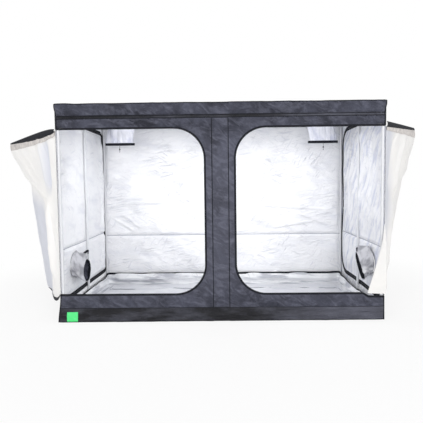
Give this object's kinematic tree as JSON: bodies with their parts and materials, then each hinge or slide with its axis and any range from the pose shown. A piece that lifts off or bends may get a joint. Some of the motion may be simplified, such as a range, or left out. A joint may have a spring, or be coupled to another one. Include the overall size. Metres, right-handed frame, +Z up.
{
  "type": "indoor grow tent",
  "caption": "Free-standing indoor grow tent: black cover lined with silver film on a pole frame, front doors folded open, duct sleeves, vent sleeves, floor tray and hanging bars.",
  "frame": {"origin": "middle of the floor panel's underside", "axes": "+X to the right along the front, +Y from the front to the back, +Z up"},
  "size_m": [4.5968, 1.5043, 2.0001],
  "materials": {
    "black_fabric": "black coated canvas with a slight blue cast",
    "silver_film": "crinkled silver-white reflective film on fabric",
    "door_film": "cream-white lining of the doors",
    "white_pole": "white powder coat",
    "black_plastic": "black moulded plastic",
    "cord": "black braided cord",
    "plain_green": "plain bright green patch"
  },
  "bodies": {
    "cover": {"floor_panel": "black_fabric", "roof_panel": "black_fabric", "back_wall": "silver_film", "front_panel": "black_fabric", "side_wall_left": "silver_film", "side_wall_right": "silver_film", "floor_tray": "silver_film", "plain_patch": "plain_green", "centre_post_front": "white_pole", "centre_post_back": "white_pole", "side_post_left": "white_pole", "side_post_right": "white_pole", "roof_cross_beam": "white_pole", "corner_post_front_left": "white_pole", "floor_corner_front_left": "white_pole", "roof_corner_front_left": "white_pole", "corner_post_front_right": "white_pole", "floor_corner_front_right": "white_pole", "roof_corner_front_right": "white_pole", "corner_post_back_left": "white_pole", "floor_corner_back_left": "white_pole", "roof_corner_back_left": "white_pole", "corner_post_back_right": "white_pole", "floor_corner_back_right": "white_pole", "roof_corner_back_right": "white_pole", "floor_rail_front": "white_pole", "floor_rail_back": "white_pole", "floor_rail_left": "white_pole", "floor_rail_right": "white_pole", "roof_rail_front": "white_pole", "roof_rail_back": "white_pole", "roof_rail_left": "white_pole", "roof_rail_right": "white_pole", "roof_sleeve_left": "silver_film", "roof_drawcord_left": "cord", "roof_sleeve_right": "silver_film", "roof_drawcord_right": "cord"},
    "front_door_left": {"front_door_left": "door_film"},
    "side_door_left": {"side_door_left": "silver_film", "vent_sleeve_left": "silver_film", "vent_tie_strap_left": "black_fabric", "vent_drawcord_left": "cord"},
    "upper_zip_slider_left": {"upper_zip_slider_left": "black_plastic"},
    "lower_zip_slider_left": {"lower_zip_slider_left": "black_plastic"},
    "side_zip_slider_left": {"side_zip_slider_left": "black_plastic"},
    "hanging_bar_left": {"hanging_bar_left": "white_pole"},
    "roof_cord_lock_left": {"roof_cord_lock_left": "black_plastic"},
    "vent_cord_lock_left": {"vent_cord_lock_left": "black_plastic"},
    "front_door_right": {"front_door_right": "door_film"},
    "side_door_right": {"side_door_right": "silver_film", "vent_sleeve_right": "silver_film", "vent_tie_strap_right": "black_fabric", "vent_drawcord_right": "cord"},
    "upper_zip_slider_right": {"upper_zip_slider_right": "black_plastic"},
    "lower_zip_slider_right": {"lower_zip_slider_right": "black_plastic"},
    "side_zip_slider_right": {"side_zip_slider_right": "black_plastic"},
    "hanging_bar_right": {"hanging_bar_right": "white_pole"},
    "roof_cord_lock_right": {"roof_cord_lock_right": "black_plastic"},
    "vent_cord_lock_right": {"vent_cord_lock_right": "black_plastic"}
  },
  "joints": [
    {"name": "front_door_left_swing", "type": "hinge", "parent": "cover", "child": "front_door_left", "pos_m": [-1.50155, -0.74955, 0.25], "axis": [0, 0, 1], "range_deg": [-3, 223.5]},
    {"name": "side_door_left_swing", "type": "hinge", "parent": "cover", "child": "side_door_left", "pos_m": [-1.5, -0.71, 0.18], "axis": [0, 0, 1], "range_deg": [0, 12]},
    {"name": "upper_zip_left_slide", "type": "slide", "parent": "cover", "child": "upper_zip_slider_left", "axis": [1, 0, 0], "range_m": [0, 0.994]},
    {"name": "lower_zip_left_slide", "type": "slide", "parent": "cover", "child": "lower_zip_slider_left", "axis": [1, 0, 0], "range_m": [0, 0.994]},
    {"name": "side_zip_left_slide", "type": "slide", "parent": "cover", "child": "side_zip_slider_left", "axis": [0, 1, 0], "range_m": [0, 1]},
    {"name": "hanging_bar_left_slide", "type": "slide", "parent": "cover", "child": "hanging_bar_left", "axis": [-1, 0, 0], "range_m": [-0.25, 0.25]},
    {"name": "roof_cord_lock_left_slide", "type": "slide", "parent": "cover", "child": "roof_cord_lock_left", "axis": [0, 0, 1], "range_m": [0, 0.03]},
    {"name": "vent_cord_lock_left_slide", "type": "slide", "parent": "side_door_left", "child": "vent_cord_lock_left", "axis": [0, 0, -1], "range_m": [0, 0.055]},
    {"name": "front_door_right_swing", "type": "hinge", "parent": "cover", "child": "front_door_right", "pos_m": [1.50155, -0.74955, 0.25], "axis": [0, 0, -1], "range_deg": [-3, 233]},
    {"name": "side_door_right_swing", "type": "hinge", "parent": "cover", "child": "side_door_right", "pos_m": [1.5, -0.71, 0.18], "axis": [0, 0, -1], "range_deg": [0, 12]},
    {"name": "upper_zip_right_slide", "type": "slide", "parent": "cover", "child": "upper_zip_slider_right", "axis": [-1, 0, 0], "range_m": [0, 0.994]},
    {"name": "lower_zip_right_slide", "type": "slide", "parent": "cover", "child": "lower_zip_slider_right", "axis": [-1, 0, 0], "range_m": [0, 0.994]},
    {"name": "side_zip_right_slide", "type": "slide", "parent": "cover", "child": "side_zip_slider_right", "axis": [0, 1, 0], "range_m": [0, 1]},
    {"name": "hanging_bar_right_slide", "type": "slide", "parent": "cover", "child": "hanging_bar_right", "axis": [1, 0, 0], "range_m": [-0.25, 0.25]},
    {"name": "roof_cord_lock_right_slide", "type": "slide", "parent": "cover", "child": "roof_cord_lock_right", "axis": [0, 0, 1], "range_m": [0, 0.03]},
    {"name": "vent_cord_lock_right_slide", "type": "slide", "parent": "side_door_right", "child": "vent_cord_lock_right", "axis": [0, 0, -1], "range_m": [0, 0.055]}
  ]
}
